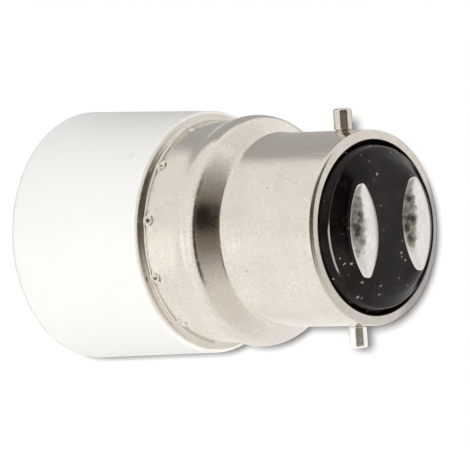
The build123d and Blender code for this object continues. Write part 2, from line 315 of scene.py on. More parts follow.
class Nodes:
    """Builder of one shader tree: an input is a plain value or the socket that feeds it."""

    def __init__(self, tree):
        self.tree = tree

    def feed(self, socket, value):
        """Links a socket to the one that feeds it, or gives it a plain value."""
        if isinstance(value, bpy.types.NodeSocket):
            self.tree.links.new(value, socket)
        else:
            socket.default_value = value

    def add(self, kind, inputs=None, **settings):
        """New node with its settings and inputs."""
        made = self.tree.nodes.new(kind)
        for name, value in settings.items():
            setattr(made, name, value)
        for name, value in (inputs or {}).items():
            self.feed(made.inputs[name], value)
        return made

    def parts(self, vector):
        """The three parts of a vector."""
        return self.add("ShaderNodeSeparateXYZ", {"Vector": vector}).outputs

    def noise(self, vector, scale, **inputs):
        """Soft noise from 0 to 1."""
        return self.add("ShaderNodeTexNoise", {"Vector": vector, "Scale": scale, **inputs}).outputs["Fac"]

    def ramp(self, value, low, high, to_low=0.0, to_high=1.0):
        """Smooth step of a value from one level to another."""
        limits = {"Value": value, "From Min": low, "From Max": high, "To Min": to_low, "To Max": to_high}
        return self.add("ShaderNodeMapRange", limits, interpolation_type="SMOOTHSTEP").outputs["Result"]

    def sums(self, operation, first, second=0.0):
        """One arithmetic step on one or two values."""
        return self.add("ShaderNodeMath", {0: first, 1: second}, operation=operation).outputs[0]

    def tint(self, factor, first, second):
        """Colour that goes from the first to the second with the factor, by the Mix node's colour sockets."""
        made = self.add("ShaderNodeMix", {0: factor}, data_type="RGBA")
        for place, value in ((6, first), (7, second)):
            self.feed(made.inputs[place], (*value, 1.0) if isinstance(value, tuple) else value)
        return made.outputs[2]


def shaded(colour, level):
    """The same colour at a share of its level."""
    return tuple(level * part for part in colour)


def shared_effect(name, outputs, **inputs):
    """Empty node group on a vector, with named inputs and outputs; gives its builder and its two ends."""
    tree = bpy.data.node_groups.new(name, "ShaderNodeTree")
    tree.interface.new_socket(name="Vector", in_out="INPUT", socket_type="NodeSocketVector")
    for label, value in inputs.items():
        socket = tree.interface.new_socket(name=label, in_out="INPUT", socket_type="NodeSocketFloat")
        socket.default_value = value
    for label in outputs:
        tree.interface.new_socket(name=label, in_out="OUTPUT", socket_type="NodeSocketFloat")
    make = Nodes(tree)
    return make, make.add("NodeGroupInput").outputs, make.add("NodeGroupOutput").inputs


def cloud_effect():
    """Blotches and fine grain: soft noise at the given scale, and noise nine times finer."""
    finer = 9.0
    make, start, end = shared_effect("blotches_and_grain", ["Blotch", "Grain"], Scale=200.0)
    fine = make.sums("MULTIPLY", start["Scale"], finer)
    for label, scale, detail in (("Blotch", start["Scale"], 3.0), ("Grain", fine, 2.0)):
        noise = make.noise(start["Vector"], scale, Detail=detail, Roughness=0.55)
        make.feed(end[label], make.ramp(noise, 0.3, 0.7))
    return make.tree


def scratch_effect():
    """Hairline marks: the thin middle contour of noise that is stretched by the given vector, in patches."""
    line_width = 0.025
    patch_scale = 2.3
    make, start, end = shared_effect("hairline_marks", ["Marks"])
    noise = make.noise(start["Vector"], 1.0, Detail=1.0, Distortion=0.4)
    off_middle = make.sums("ABSOLUTE", make.sums("SUBTRACT", noise, 0.5))
    line = make.ramp(off_middle, 0.0, line_width, 1.0, 0.0)
    patches = make.noise(start["Vector"], patch_scale, Detail=1.0)
    make.feed(end["Marks"], make.sums("MULTIPLY", line, make.ramp(patches, 0.5, 0.66)))
    return make.tree


def speck_effect():
    """Scattered specks: the middles of random cells, kept where the cell's own chance is low enough."""
    wobble_scale = 2.5
    largest = 0.75
    soft_edge = 0.08
    make, start, end = shared_effect("scattered_specks", ["Specks"], Scale=900.0, Chance=0.1)
    wobble = make.noise(start["Vector"], make.sums("MULTIPLY", start["Scale"], wobble_scale))
    cells = make.add("ShaderNodeTexVoronoi", {"Vector": start["Vector"], "Scale": start["Scale"]}).outputs
    draw = make.add("ShaderNodeSeparateColor", {"Color": cells["Color"]}).outputs
    kept = make.sums("LESS_THAN", draw["Red"], start["Chance"])
    reach = make.sums("MULTIPLY", make.sums("MULTIPLY", draw["Green"], wobble), largest)
    inside = make.sums("SUBTRACT", reach, cells["Distance"])
    make.feed(end["Specks"], make.sums("MULTIPLY", kept, make.ramp(inside, 0.0, soft_edge)))
    return make.tree


BLOTCHES = cloud_effect()
HAIRLINES = scratch_effect()
SPECKS = speck_effect()


class Finish(Nodes):
    """A material in the making: its tree, its shader and the coordinates that its patterns use."""

    def __init__(self, name, **fixed):
        self.material = bpy.data.materials.new(name)
        self.material.use_nodes = True
        super().__init__(self.material.node_tree)
        self.shader = self.tree.nodes["Principled BSDF"]
        for label, value in fixed.items():
            self.shader.inputs[label.replace("_", " ")].default_value = value
        source = self.add("ShaderNodeTexCoord").outputs
        self.place, self.uv = source["Object"], source["UV"]
        self.x, self.y, self.z = self.parts(self.place)

    def stretched(self, across, along):
        """UV coordinates scaled differently across and along, for marks that run one way."""
        scale = (across, along, along)
        return self.add("ShaderNodeMapping", {"Vector": self.uv, "Scale": scale}).outputs["Vector"]

    def effect(self, group, output, **inputs):
        """Output of a shared effect, on the object coordinates unless another vector is given."""
        values = {"Vector": self.place, **inputs}
        return self.add("ShaderNodeGroup", values, node_tree=group).outputs[output]

    def blotch(self, scale):
        """Mask of soft blotches."""
        return self.effect(BLOTCHES, "Blotch", Scale=scale)

    def grain(self, scale):
        """Mask of fine grain."""
        return self.effect(BLOTCHES, "Grain", Scale=scale)

    def marks(self, across, along):
        """Mask of hairline marks."""
        return self.effect(HAIRLINES, "Marks", Vector=self.stretched(across, along))

    def specks(self, scale, chance):
        """Mask of scattered specks."""
        return self.effect(SPECKS, "Specks", Scale=scale, Chance=chance)

    def coated(self, colour, mask, share, top):
        """Colour with a share of another one laid on it where the mask is."""
        return self.tint(self.sums("MULTIPLY", mask, share), colour, top)

    def added(self, value, mask, share):
        """Value plus a share of a mask; a negative share takes it away."""
        return self.sums("ADD", value, self.sums("MULTIPLY", mask, share))

    def near(self, value, middle, spread):
        """Soft band that is 1 at the middle and 0 a spread away, in millimetres."""
        off = self.sums("ABSOLUTE", self.sums("SUBTRACT", value, middle * MM))
        return self.ramp(off, 0.0, spread * MM, 1.0, 0.0)

    def done(self, colour, roughness, height, relief):
        """Feeds the shader; relief is the bump's depth in millimetres."""
        bump = self.add("ShaderNodeBump", {"Height": height, "Distance": relief * MM, "Strength": 1.0})
        self.feed(self.shader.inputs["Base Color"], colour)
        self.feed(self.shader.inputs["Roughness"], roughness)
        self.feed(self.shader.inputs["Normal"], bump.outputs["Normal"])
        return self.material


def white_moulding():
    """Satin white moulding: faint warm blotches, soft orange peel, hairlines and grime by the metal rim."""
    make = Finish("white_moulding", IOR=1.49)
    blotch = make.blotch(130.0)
    peel = make.grain(260.0)
    marks = make.marks(across=26.0, along=5.0)
    dust = make.specks(520.0, chance=0.05)
    grime = make.sums("MULTIPLY", make.near(make.z, SEAM_Z, spread=0.5), blotch)
    colour = make.tint(blotch, BODY_WHITE, BODY_CREAM)
    colour = make.coated(colour, grime, 0.35, RIM_GRIME)
    colour = make.coated(colour, dust, 0.25, BODY_DUST)
    rough = make.ramp(peel, 0.0, 1.0, 0.34, 0.42)
    rough = make.added(rough, marks, 0.1)
    height = make.added(peel, marks, -0.8)
    return make.done(colour, rough, height, relief=0.004)


def lip_painted_shade(make, level):
    """Mask of the painted shade on the cap's lip: a darker grey, strongest between +Y and +X and faintest
    towards -X, that stands in for shade and a darker reflection there.
    """
    toward_x, toward_y = 0.423, 0.906
    toward = make.added(make.sums("MULTIPLY", make.y, toward_y), make.x, toward_x)
    # The first ramp is the faint part of the painted shade, towards -X; the second is its strong part,
    # towards +Y and +X.
    thin = make.ramp(make.x, -7 * MM, 0.0, 0.08, 0.3)
    strong_shade = make.ramp(toward, 5.5 * MM, 8.5 * MM)
    painted_shade = make.sums("MULTIPLY", make.sums("MAXIMUM", thin, strong_shade), level)
    return make.sums("MULTIPLY", painted_shade, make.ramp(make.z, (LIP_Z - 0.5) * MM, (LIP_Z - 0.1) * MM))


def nickel(name, pale, deep, low_rough, high_rough, streaks, lit_side_roughness=0.0, lip_shade_level=0.0):
    """Bright nickel plate: mottled tone and gloss, satin grain, drawing streaks, hairlines and darker specks.

    Streaks is about how many go round the piece. An extra roughness may be given for the +X side, where the
    plate is also painted paler, as painted light. A level may be given for the painted shade on the lip, a
    darker grey that stands in for shade."""
    make = Finish(name, Metallic=1.0)
    blotch = make.blotch(190.0)
    grain = make.grain(240.0)
    satin = make.grain(560.0)
    warmth = make.grain(130.0)
    cloud = make.grain(75.0)
    drawn = make.noise(make.stretched(across=streaks, along=2.0), 1.0, Detail=2.0)
    marks = make.marks(across=30.0, along=9.0)
    specks = make.specks(2600.0, chance=0.006)
    colour = make.tint(blotch, pale, deep)
    colour = make.tint(make.ramp(drawn, 0.35, 0.75, 0.0, 0.25), colour, deep)
    colour = make.coated(colour, cloud, 0.55, shaded(deep, 0.93))
    colour = make.coated(colour, satin, 0.8, shaded(deep, 0.85))
    colour = make.coated(colour, warmth, 0.2, PLATE_WARM)
    colour = make.coated(colour, specks, 0.5, PLATE_PITS)
    rough = make.ramp(blotch, 0.0, 1.0, low_rough, high_rough)
    rough = make.sums("ADD", rough, make.ramp(satin, 0.0, 1.0, -0.03, 0.05))
    # Painted shade: the lip is tinted darker grey towards its far side.
    if lip_shade_level:
        colour = make.tint(lip_painted_shade(make, lip_shade_level), colour, LIP_PAINTED_SHADE)
    # Painted light: the +X side, where one pin stands, is tinted paler and made rougher.
    if lit_side_roughness:
        painted_lit_side = make.ramp(make.x, -2 * MM, 2 * MM)
        colour = make.tint(painted_lit_side, colour, PIN_PAINTED_LIGHT)
        rough = make.added(rough, painted_lit_side, lit_side_roughness)
    rough = make.added(rough, marks, 0.12)
    rough = make.added(rough, specks, 0.2)
    height = make.added(make.sums("MULTIPLY", grain, 0.6), drawn, 0.6)
    height = make.added(height, satin, 0.35)
    height = make.added(height, marks, -0.5)
    height = make.added(height, specks, -1.0)
    return make.done(colour, rough, height, relief=0.003)


def black_moulding():
    """Glossy black moulding: faint brown flow marks and smudges, drifts of pale dust and fine ripples."""
    make = Finish("black_moulding", IOR=1.5, Specular_IOR_Level=0.21, Specular_Tint=MOULD_SHEEN)
    blotch = make.blotch(160.0)
    grain = make.grain(200.0)
    dust = make.specks(1800.0, chance=0.5)
    drift = make.blotch(330.0)
    dust = make.sums("MULTIPLY", dust, make.ramp(drift, 0.62, 0.95))
    marks = make.marks(across=14.0, along=6.0)
    smudge = make.sums("MULTIPLY", make.ramp(drift, 0.3, 1.0), grain)
    colour = make.tint(blotch, MOULD_BLACK, MOULD_BROWN)
    colour = make.coated(colour, smudge, 0.5, MOULD_SMUDGE)
    colour = make.coated(colour, dust, 0.9, MOULD_DUST)
    rough = make.ramp(blotch, 0.0, 1.0, 0.09, 0.15)
    rough = make.added(rough, dust, 0.35)
    height = make.added(make.sums("MULTIPLY", blotch, 0.8), grain, 0.2)
    height = make.sums("ADD", height, make.added(dust, marks, -0.4))
    return make.done(colour, rough, height, relief=0.008)


def solder_finish():
    """Pale solder: smooth and silvery, with one burnt, brown and pitted patch on the flank that faces -Y.

    The patch is an oval in the UV map, with an edge that wanders, a brown outer part and a black middle."""
    flank_at, flank_reach = 0.22, 0.18
    middle_at, middle_reach = 0.44, 0.24
    make = Finish("solder", Metallic=0.8)
    blotch = make.blotch(900.0)
    fine = make.grain(230.0)
    grain = make.grain(160.0)
    sheen = make.blotch(500.0)
    pits = make.specks(1900.0, chance=0.3)
    across, along, _ = make.parts(make.uv)
    off_flank = make.sums("DIVIDE", make.sums("SUBTRACT", across, flank_at), flank_reach)
    off_middle = make.sums("DIVIDE", make.sums("SUBTRACT", along, middle_at), middle_reach)
    away = make.sums("ADD", make.sums("POWER", off_flank, 2.0), make.sums("POWER", off_middle, 2.0))
    away = make.added(away, make.sums("SUBTRACT", blotch, 0.5), 0.7)
    halo = make.ramp(away, 0.5, 1.2, 0.84, 0.0)
    brown = make.sums("MULTIPLY", halo, make.ramp(fine, 0.0, 1.0, 0.7, 1.0))
    core = make.ramp(away, -0.1, 0.6, 0.9, 0.0)
    black = make.sums("MULTIPLY", core, make.ramp(blotch, 0.1, 0.7, 1.0, 0.3))
    colour = make.tint(grain, SOLDER_PALE, SOLDER_DEEP)
    colour = make.coated(colour, sheen, 0.2, SOLDER_DULL)
    colour = make.tint(brown, colour, BURNT_BROWN)
    colour = make.tint(black, colour, BURNT_BLACK)
    colour = make.coated(colour, make.sums("MULTIPLY", pits, halo), 0.4, BURNT_PITS)
    rough = make.ramp(halo, 0.0, 1.0, 0.33, 0.5)
    height = make.added(make.sums("MULTIPLY", grain, 0.5), fine, 0.4)
    height = make.added(height, blotch, make.ramp(halo, 0.0, 0.5, 0.6, 2.0))
    pitted = make.sums("MULTIPLY", pits, make.ramp(halo, 0.0, 0.5, 0.1, 1.0))
    return make.done(colour, rough, make.sums("SUBTRACT", height, pitted), relief=0.006)


def plain_metal(name, pale, deep, low_rough, high_rough):
    """Rolled sheet or wire: blotched tone, darker tarnish specks and fine grain."""
    make = Finish(name, Metallic=1.0)
    blotch = make.blotch(300.0)
    grain = make.grain(260.0)
    specks = make.specks(900.0, chance=0.12)
    colour = make.tint(blotch, pale, deep)
    colour = make.coated(colour, specks, 0.6, shaded(deep, 0.35))
    rough = make.added(make.ramp(blotch, 0.0, 1.0, low_rough, high_rough), specks, 0.2)
    return make.done(colour, rough, make.sums("SUBTRACT", grain, specks), relief=0.004)


def woven_sleeve():
    """Woven sleeving: two sets of threads that cross, as the product of two fine wave bands."""
    waves_up = 5200.0
    waves_round = 40.0
    make = Finish("woven_sleeve")
    angle = make.sums("ARCTAN2", make.y, make.x)
    bands = []
    for lean in (waves_round, -waves_round):
        phase = make.added(make.sums("MULTIPLY", make.z, waves_up), angle, lean)
        bands.append(make.sums("SINE", phase))
    weave = make.ramp(make.sums("MULTIPLY", *bands), -1.0, 1.0)
    blotch = make.blotch(300.0)
    colour = make.tint(weave, WEAVE_DEEP, WEAVE_PALE)
    colour = make.coated(colour, blotch, 0.3, WEAVE_STAIN)
    rough = make.ramp(blotch, 0.0, 1.0, 0.7, 0.85)
    return make.done(colour, rough, weave, relief=0.03)


def white_body(material):
    """Moulded body: its half section, from the boss over the mouth to the floor, turned round the axis."""
    line = rounded_line(
        [
            (0, BOSS_BOTTOM, 0),
            (BOSS_RADIUS, BOSS_BOTTOM, BOSS_ROUND),
            (BOSS_RADIUS, SHELL_FLOOR, 0),
            (BORE_RADIUS, SHELL_FLOOR, 0),
            (BORE_RADIUS, ENTRY_DEPTH, BORE_ROUND),
            (ENTRY_RADIUS, ENTRY_DEPTH, ENTRY_STEP_ROUND),
            (ENTRY_RADIUS, 0, ENTRY_ROUND),
            (MOUTH_RADIUS, 0, MOUTH_ROUND),
            (SEAM_RADIUS, SEAM_Z, SEAM_ROUND),
            (SPIGOT_RADIUS, SEAM_Z, 0),
            (SPIGOT_RADIUS, SPIGOT_TOP, SPIGOT_ROUND),
            (RECESS_RADIUS, SPIGOT_TOP, 0),
            (RECESS_RADIUS, FLOOR_TOP, 0),
            (0, FLOOR_TOP, 0),
        ]
    )
    return surface("white_body", revolved(refined(line, spacing=0.8), turns(288)), material)


def cap_line(depth, spacing):
    """Section of the cap at a depth under its skin, from the rim to the lip: six arcs and their runs."""
    flare_at = SKIRT_RADIUS + FLARE_ROUND
    lean = BLEND_ROUND + CREST_ROUND - BULGE
    climb = math.sqrt((BLEND_ROUND + CREST_ROUND) ** 2 - lean**2)
    swell = math.degrees(math.atan2(climb, lean))
    crest_at = SKIRT_RADIUS + BULGE - CREST_ROUND
    slope = math.radians(CONE_ANGLE)
    foot_at = BARREL_RADIUS + FOOT_ROUND
    fall = (FOOT_ROUND + CREST_ROUND - (foot_at - crest_at) * math.cos(slope)) / math.sin(slope)
    lean_in = math.radians(LIP_SLOPE)
    dome_at = BARREL_RADIUS - LIP_CORNER - (LIP_DOME - LIP_CORNER) * math.sin(lean_in)
    lip_end = math.degrees(math.asin((LIP_RADIUS + SHEET / 2 - dome_at) / LIP_DOME))
    dome_z = LIP_TOP - LIP_DOME * math.cos(math.radians(lip_end))
    corner_z = dome_z + (LIP_DOME - LIP_CORNER) * math.cos(lean_in)
    line = np.concatenate(
        [
            arc((flare_at, SEAM_Z + SHEET + FLARE_ROUND), FLARE_ROUND + depth, 270, -90, 13),
            arc((SKIRT_RADIUS + BLEND_ROUND, CREST_Z - climb), BLEND_ROUND + depth, 180, -swell, 9),
            arc((crest_at, CREST_Z), CREST_ROUND - depth, -swell, swell + CONE_ANGLE, 19),
            arc((foot_at, CREST_Z + fall), FOOT_ROUND + depth, 180 + CONE_ANGLE, -CONE_ANGLE, 9),
            arc((BARREL_RADIUS - LIP_CORNER, corner_z), max(LIP_CORNER - depth, 0.0), 0, 90 - LIP_SLOPE, 9),
            arc((dome_at, dome_z), LIP_DOME - depth, 90 - LIP_SLOPE, LIP_SLOPE - lip_end, 9),
        ]
    )
    same_spot = 1e-6
    apart = np.linalg.norm(np.diff(line, axis=0), axis=1) > same_spot
    return refined(line[np.concatenate([[True], apart])], spacing)


def crimp_depth(angle, height):
    """Depth of the skirt's crimps: (1 - d^2)^2 within each round dent, less a low burr round its edge."""
    pitch = 2 * math.pi / CRIMPS
    turn = (angle - math.radians(CRIMP_PHASE) + pitch / 2) % pitch - pitch / 2
    away = np.hypot(turn * SKIRT_RADIUS, height - CRIMP_Z)
    dent = CRIMP_DEPTH * np.clip(1 - (away / CRIMP_REACH) ** 2, 0, None) ** 2
    burr = CRIMP_BURR * np.exp(-(((away - CRIMP_BURR_AT) / CRIMP_BURR_WIDTH) ** 2))
    return dent - burr


def packed_angles(count, packing):
    """Angles round the cap, a count to each crimp, packed close at it by t - packing sin(2 pi t) / 2 pi."""
    part = np.linspace(0, 1, count, endpoint=False)
    packed = part - packing * np.sin(2 * math.pi * part) / (2 * math.pi)
    sector = np.arange(CRIMPS)[:, None]
    return math.radians(CRIMP_PHASE) + (sector + packed).ravel() * 2 * math.pi / CRIMPS


def drawn_cap(material):
    """Sheet cap: the outer skin, rounded lip, inner skin and rounded rim as one closed section, turned
    round the axis, where the crimps push both skins inwards. The outer skin has fewer points above them."""
    half = SHEET / 2
    outer = cap_line(0, spacing=0.12)
    kept = (outer[:, 1] < CRIMPED_TOP) | (np.arange(len(outer)) % 3 == 0)
    inner = cap_line(SHEET, spacing=0.3)[::-1]
    lip = arc((LIP_RADIUS + half, LIP_TOP - half), half, 90, 180, 9)
    rim = arc((RIM_RADIUS - half, SEAM_Z + half), half, -90, 180, 9)
    line = np.concatenate([outer[kept], lip, inner, rim])
    angle = packed_angles(count=30, packing=0.8)
    points = revolved(line, angle)
    radius, height = line[:, 0, None], line[:, 1, None]
    on_skirt = (radius < CRIMPED_RADIUS) & (height < CREST_Z)
    scale = np.where(on_skirt, 1 - crimp_depth(angle[None, :], height) / radius, 1.0)
    points[..., :2] *= scale[..., None]
    return surface("drawn_cap", points, material, close_line=True)


def bayonet_pin(name, side, material):
    """Side pin: its half section from the inner head to the rounded tip, turned about the pin's own axis."""
    head_face = PIN_LOW[0]
    line = rounded_line(
        [
            (head_face, 0, 0),
            (head_face, PIN_HEAD_RADIUS, PIN_HEAD_ROUND),
            (head_face + PIN_HEAD_THICKNESS, PIN_HEAD_RADIUS, 0),
            (head_face + PIN_HEAD_THICKNESS, PIN_ROOT_RADIUS, 0),
            (BARREL_RADIUS, PIN_ROOT_RADIUS, 0),
            (BARREL_RADIUS + PIN_ROOT_RISE, PIN_RADIUS, PIN_ROOT_ROUND),
            (PIN_HIGH[0], PIN_RADIUS, PIN_TIP_ROUND),
            (PIN_HIGH[0], 0, 0),
        ]
    )
    line = refined(line, spacing=0.25)
    angle = turns(64)
    reach, radius = line[:, 0, None], line[:, 1, None]
    y, z = radius * np.cos(angle), PIN_Z + radius * np.sin(angle)
    return surface(name, np.stack([side * (reach + 0 * angle), y, z], axis=-1), material)


def black_insulator(material):
    """Insulator: flange, ring edge and sloped crown as one half section from the top's middle to the neck."""
    line = rounded_line(
        [
            (0, CROWN_Z, 0),
            (FLAT_RADIUS, CROWN_Z, FLAT_ROUND),
            (RING_EDGE_RADIUS, RING_EDGE_Z, RING_EDGE_ROUND),
            (THROAT_RADIUS, LIP_Z - SHEET, 0),
            (FLANGE_RADIUS, FLANGE_EDGE_Z, 0),
            (FLANGE_RADIUS, FLANGE_BOTTOM, 0),
            (NECK_RADIUS, FLANGE_BOTTOM, 0),
            (NECK_RADIUS, NECK_BOTTOM, NECK_ROUND),
            (0, NECK_BOTTOM, 0),
        ],
        steps=13,
    )
    return surface("black_insulator", revolved(refined(line, spacing=0.35), turns(256)), material)


def lens_plan(inset, length_steps, across):
    """Plan of a contact, drawn in by an inset: x runs the lens's length, y is the share across times the
    half width there, which follows the side's circle up to where the tip's smaller circle takes over."""
    side_round = CONTACT_SIDE_RADIUS - inset
    tip_round = CONTACT_TIP_RADIUS - inset
    off_axis = CONTACT_SIDE_RADIUS - CONTACT_HALF_WIDTH
    tip_at = math.sqrt((side_round - tip_round) ** 2 - off_axis**2)
    meet = tip_at * side_round / (side_round - tip_round)
    half_length = tip_at + tip_round
    x = half_length * np.sin(np.linspace(-math.pi / 2, math.pi / 2, length_steps))[:, None]
    by_side = np.sqrt(side_round**2 - x**2) - off_axis
    by_tip = np.sqrt(np.clip(tip_round**2 - (np.abs(x) - tip_at) ** 2, 0, None))
    half_width = np.where(np.abs(x) < meet, by_side, by_tip)
    return x + 0 * across, across * half_width, x / half_length


def contact_plate(name, side, material):
    """Flat plate: the lens plan with a small rounded top edge, 1 - t^12 across, closed underneath."""
    top = np.sin(np.linspace(-math.pi / 2, math.pi / 2, 25))
    across = np.concatenate([top, top[::-1]])[None, :]
    x, y, _ = lens_plan(PLATE_INSET, 49, across)
    upper = np.arange(across.shape[1])[None, :] < len(top)
    height = np.where(upper, PLATE_PROUD * (1 - np.abs(across) ** 12), -PLATE_DEPTH)
    points = np.stack([x, side * CONTACT_OFFSET + y, CROWN_Z + height + 0 * x], axis=-1)
    return surface(name, points, material)


def solder_mound(name, side, material):
    """Solder: height over the lens plan is a steep edge, 1 - t^20, plus a crown that falls as 1 - t^2 across
    and less steeply along, with a few low ripples from sine waves on the flank that faces -Y."""
    top = np.sin(np.linspace(-math.pi / 2, math.pi / 2, 61))
    under = np.linspace(1, -1, 9)[1:-1]
    across = np.concatenate([top, under])[None, :]
    x, y, along = lens_plan(0, 121, across)
    crown = SOLDER_TOP - CROWN_Z - SOLDER_EDGE
    dome = (1 - across**2) * np.sqrt(np.clip(1 - SOLDER_FALL * along**2, 0, None))
    flank = np.clip(-across, 0, 1) * np.clip(1 + across, 0, 1) * 4 * (1 - along**2)
    ripple = np.sin(5.3 * x + 2.1 * y + side) * np.sin(3.1 * x - 4.7 * y) + 0.6 * np.sin(9.1 * x + 7.7 * y)
    height = SOLDER_EDGE * (1 - across**20) + crown * dome - RIPPLE_DEPTH * flank * ripple
    upper = np.arange(across.shape[1])[None, :] < len(top)
    height = np.where(upper, height, -SOLDER_SUNK)
    points = np.stack([x, side * CONTACT_OFFSET + y, CROWN_Z + PLATE_PROUD + height], axis=-1)
    return surface(name, points, material)


def eased(distance, length):
    """Smooth rise from 0 to 1 over a length: t^2 (3 - 2 t)."""
    share = np.clip(distance / length, 0, 1)
    return share * share * (3 - 2 * share)


def threaded_shell(material):
    """Screw shell: radius = crest bore + depth times a rounded wave of (height over pitch - turn), which
    is the rolled thread, on both skins; it opens out at the mouth and fades above the floor's flange."""
    inner = rounded_line(
        [
            (THREAD_MINOR, SHELL_MOUTH, 0),
            (THREAD_MINOR, SHELL_FLOOR - SHELL_SHEET, SHELL_BEND),
            (SHELL_HOLE, SHELL_FLOOR - SHELL_SHEET, 0),
        ]
    )
    outer = rounded_line(
        [
            (SHELL_HOLE, SHELL_FLOOR, 0),
            (THREAD_MINOR + SHELL_SHEET, SHELL_FLOOR, SHELL_BEND + SHELL_SHEET),
            (THREAD_MINOR + SHELL_SHEET, SHELL_MOUTH, 0),
        ]
    )
    line = np.concatenate([refined(inner, spacing=0.17), refined(outer, spacing=0.17)])
    angle = turns(216)
    height = line[:, 1, None]
    wave = np.cos(2 * math.pi * height / THREAD_PITCH - angle[None, :])
    wave = np.sign(wave) * np.abs(wave) ** THREAD_POWER
    at_mouth = eased(height - SHELL_MOUTH, THREAD_FADE_AT_MOUTH)
    at_floor = eased(SHELL_FLOOR - SHELL_BEND - SHELL_SHEET - height, THREAD_FADE_AT_FLOOR)
    swell = THREAD_DEPTH * ((0.5 + 0.5 * wave) * at_mouth + (1 - at_mouth)) * at_floor
    radius = line[:, 0, None] + swell
    points = np.stack([radius * np.cos(angle), radius * np.sin(angle), height + 0 * angle], axis=-1)
    return surface("threaded_shell", points, material, close_line=True)


def sprung_leaf(material):
    """Centre contact: a strip section with rounded edges, x = cos^p and y = sin^q of the turn, carried along
    the foot, the bend and the tongue, with round tips and a low dome where the lamp's contact presses."""
    middle = LEAF_THICKNESS / 2
    bend_z = LEAF_TOP - LEAF_THICKNESS - LEAF_BEND
    bend = arc((LEAF_BEND_AT, bend_z), LEAF_BEND + middle, 90, TONGUE_ANGLE - 180, 25)
    aim = math.radians(180 - TONGUE_ANGLE)
    tip = bend[-1] + TONGUE_LENGTH * np.array([math.cos(aim), -math.sin(aim)])
    path = np.concatenate([[[LEAF_BEND_AT - LEAF_FOOT, LEAF_TOP - middle]], bend, [tip]])
    path = refined(path, spacing=0.14)
    ahead = np.gradient(path, axis=0)
    ahead /= np.linalg.norm(ahead, axis=1)[:, None]
    across = np.stack([ahead[:, 1], -ahead[:, 0]], axis=-1)
    along = np.concatenate([[0], np.cumsum(np.linalg.norm(np.diff(path, axis=0), axis=1))])
    share = np.clip(np.minimum(along, along[-1] - along) / LEAF_TIP_ROUND, 0, 1)
    half_width = LEAF_HALF_WIDTH - LEAF_TIP_ROUND * (1 - np.sqrt(1 - (1 - share) ** 2))
    turn = turns(64)
    side = np.sign(np.cos(turn)) * np.abs(np.cos(turn)) ** LEAF_SIDE_POWER
    lift = np.sign(np.sin(turn)) * np.abs(np.sin(turn)) ** LEAF_FACE_POWER * middle
    y = half_width[:, None] * side
    on_tongue = path[:, 1, None] < bend_z
    press = np.exp(-((path[:, 0, None] ** 2 + y**2) / PRESS_SPREAD)) * on_tongue
    offset = lift - PRESS_DEPTH * press
    spots = path[:, None, :] + offset[..., None] * across[:, None, :]
    points = np.stack([spots[..., 0], y, spots[..., 1]], axis=-1)
    ends = points[[0, -1]].mean(axis=1, keepdims=True) + 0 * points[[0, -1]]
    points = np.concatenate([ends[:1], points, ends[1:]])
    return surface("sprung_leaf", points, material)


def domed_rivet(name, node, material):
    """Rivet: a shank with a domed head at each end, turned about its own axis."""
    low, high = corner_mm(node, 0), corner_mm(node, 1)
    at = (low + high) / 2
    dome = (RIVET_HEAD**2 + RIVET_RISE**2) / (2 * RIVET_RISE)
    open_angle = math.degrees(math.asin(RIVET_HEAD / dome))
    foot = arc((0, low[2] + dome), dome, -90, open_angle, 13)
    head = arc((0, high[2] - dome), dome, 90 - open_angle, open_angle, 13)
    shank = [[RIVET_RADIUS, low[2] + RIVET_RISE], [RIVET_RADIUS, high[2] - RIVET_RISE]]
    points = revolved(np.concatenate([foot, shank, head]), turns(64))
    points[..., :2] += at[:2]
    return surface(name, points, material)


WHITE = white_moulding()
# The cap's lip gets painted shade on its far side.
CAP_PLATE = nickel("nickel_plate", CAP_PALE, CAP_DEEP, 0.13, 0.22, streaks=220.0, lip_shade_level=0.9)
# The pin on the +X side gets painted light: a paler tone and more roughness.
PIN_PLATE = nickel("nickel_pin", PIN_PALE, PIN_DEEP, 0.08, 0.15, streaks=40.0, lit_side_roughness=0.1)
BLACK = black_moulding()
SOLDER = solder_finish()
BRASS = plain_metal("contact_brass", (0.78, 0.62, 0.34), (0.66, 0.49, 0.25), 0.25, 0.4)
SHELL_PLATE = plain_metal("shell_plate", (0.76, 0.71, 0.62), (0.68, 0.61, 0.5), 0.2, 0.32)
BRONZE = plain_metal("spring_bronze", (0.74, 0.5, 0.28), (0.6, 0.37, 0.19), 0.24, 0.38)
RIVET_BRASS = plain_metal("rivet_brass", (0.77, 0.61, 0.35), (0.63, 0.47, 0.24), 0.25, 0.4)
COPPER = plain_metal("lead_copper", (0.74, 0.43, 0.29), (0.58, 0.31, 0.19), 0.25, 0.4)
SLEEVE = woven_sleeve()

settled(white_body(WHITE), "socket_body")
settled(drawn_cap(CAP_PLATE), "cap_shell")
settled(bayonet_pin("pin_right", 1, PIN_PLATE), "bayonet_pin_right")
settled(bayonet_pin("pin_left", -1, PIN_PLATE), "bayonet_pin_left")
insulator = settled(black_insulator(BLACK), "insulator")
for label, side in (("live", 1), ("neutral", -1)):
    settled(contact_plate(label + "_plate", side, BRASS), label + "_contact_plate")
    settled(solder_mound(label + "_solder", side, SOLDER), label + "_contact_solder")
settled(threaded_shell(SHELL_PLATE), "screw_shell")
for node in ("centre_rivet", "shell_rivet", "neutral_rivet"):
    settled(domed_rivet(node + "_domed", node, RIVET_BRASS), node)

leaf = sprung_leaf(BRONZE)
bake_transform(leaf)
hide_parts("centre_contact")

for suffix, material in (("tag", BRASS), ("lead", COPPER), ("sleeve", SLEEVE)):
    for label in ("live_", "neutral_"):
        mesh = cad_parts[label + suffix].data
        mesh.materials.clear()
        mesh.materials.append(material)


